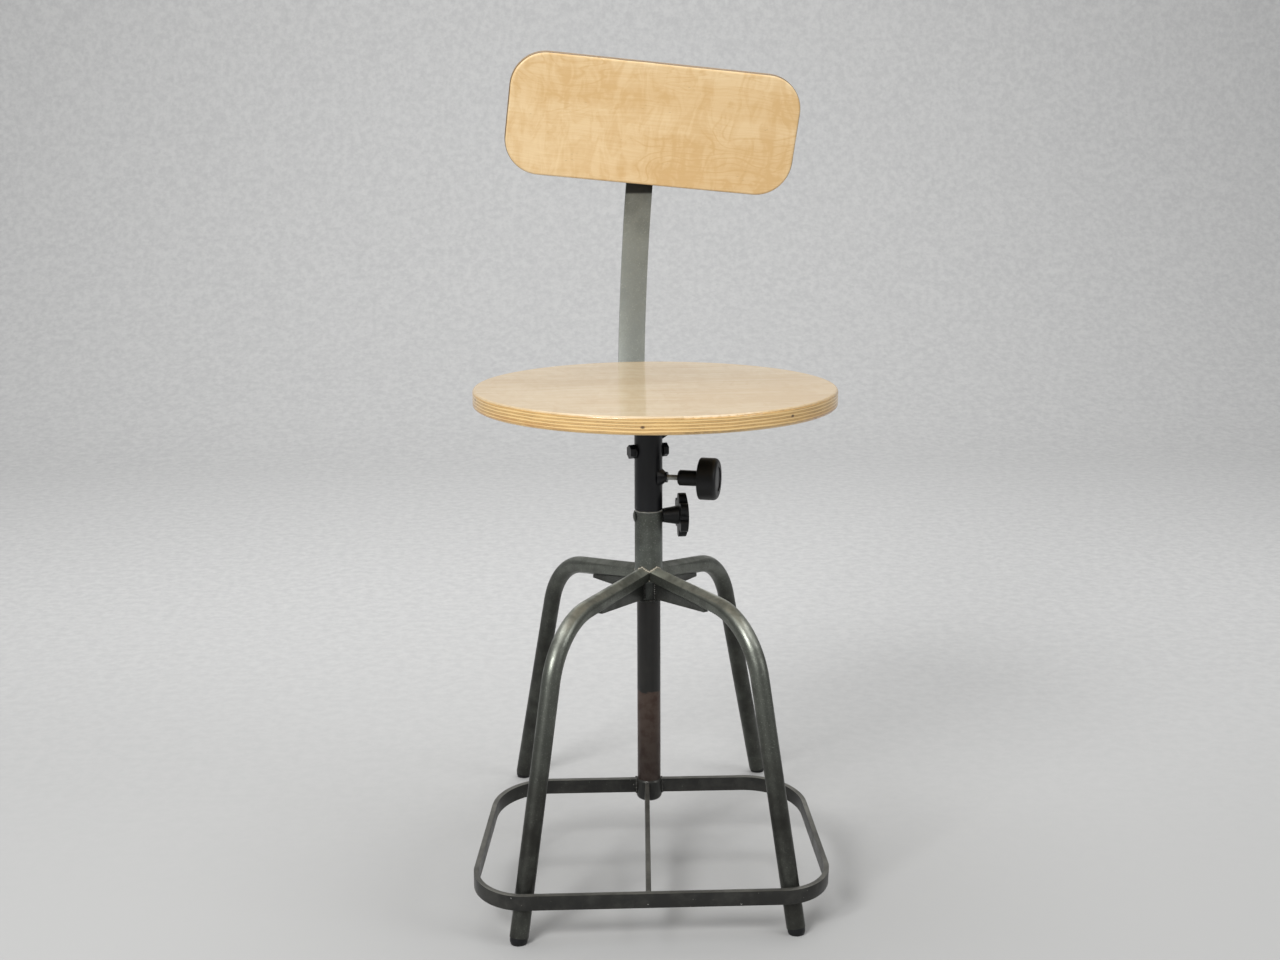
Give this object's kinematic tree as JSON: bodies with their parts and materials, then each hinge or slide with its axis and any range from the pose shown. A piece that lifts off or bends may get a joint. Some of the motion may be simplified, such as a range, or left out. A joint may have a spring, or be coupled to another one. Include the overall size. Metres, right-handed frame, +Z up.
{
  "type": "swivel work chair",
  "caption": "Work chair with a round plywood seat and tilted plywood backrest on a height-adjustable steel column, bent tube legs and a flat bar footrest.",
  "frame": {"origin": "on the floor, under the middle of the chair's outline", "axes": "+Z up along the column, -Y towards the footrest, which is the sitter's front, +X to the right as seen from the front"},
  "size_m": [0.3816, 0.476, 0.8698],
  "materials": {
    "grey_enamel": "satin hammered enamel",
    "dark_steel": "satin, worn",
    "tube_steel": "satin, worn to bare steel below",
    "black_steel": "satin",
    "black_plastic": "fine matt",
    "zinc": "zinc plated",
    "bright_steel": "ground",
    "nylon": "natural",
    "birch_seat": "clear lacquer",
    "birch_back": "clear lacquer"
  },
  "bodies": {
    "base": {"centre_tube": "tube_steel", "hub_sleeve": "grey_enamel", "leg_near_left": "grey_enamel", "leg_near_right": "grey_enamel", "leg_far_left": "grey_enamel", "leg_far_right": "grey_enamel", "gusset_near_left": "grey_enamel", "gusset_near_right": "grey_enamel", "gusset_far_left": "grey_enamel", "gusset_far_right": "grey_enamel", "plug_near_left": "black_plastic", "plug_near_right": "black_plastic", "plug_far_left": "black_plastic", "plug_far_right": "black_plastic", "collar": "dark_steel", "footrest_hoop": "dark_steel", "footrest_strut": "dark_steel", "star_bolt": "grey_enamel"},
    "star_knob": {"star_knob": "black_plastic"},
    "post": {"seat_post": "bright_steel"},
    "seat": {"seat_tube": "black_steel", "clamp_boss": "black_steel", "post_bush": "nylon", "seat_plate": "black_steel", "cross_bolt": "black_steel", "cross_nut": "black_steel", "cross_washers": "zinc", "seat_screws": "zinc", "seat_panel": "birch_seat", "back_bar": "grey_enamel", "arm_bolts": "black_steel", "backrest_panel": "birch_back", "backrest_screws": "zinc"},
    "clamp": {"clamp_screw": "zinc", "clamp_knob": "black_plastic", "clamp_cap": "black_steel"}
  },
  "joints": [
    {"name": "height_slide", "type": "slide", "parent": "base", "child": "post", "axis": [0, 0, 1], "range_m": [0, 0.18]},
    {"name": "seat_swivel", "type": "hinge", "parent": "post", "child": "seat", "pos_m": [-0.0049, 0.00136, 0.4223], "axis": [0, 0, 1], "continuous": true},
    {"name": "clamp_knob_turn", "type": "hinge", "parent": "seat", "child": "clamp", "pos_m": [-0.0049, 0.00136, 0.4223], "axis": [0.9622, -0.2723, 0], "range_deg": [0, 1080]},
    {"name": "star_knob_turn", "type": "hinge", "parent": "base", "child": "star_knob", "pos_m": [-0.0049, 0.00136, 0.379], "axis": [0.9962, 0.0872, 0], "range_deg": [0, 1080]}
  ]
}
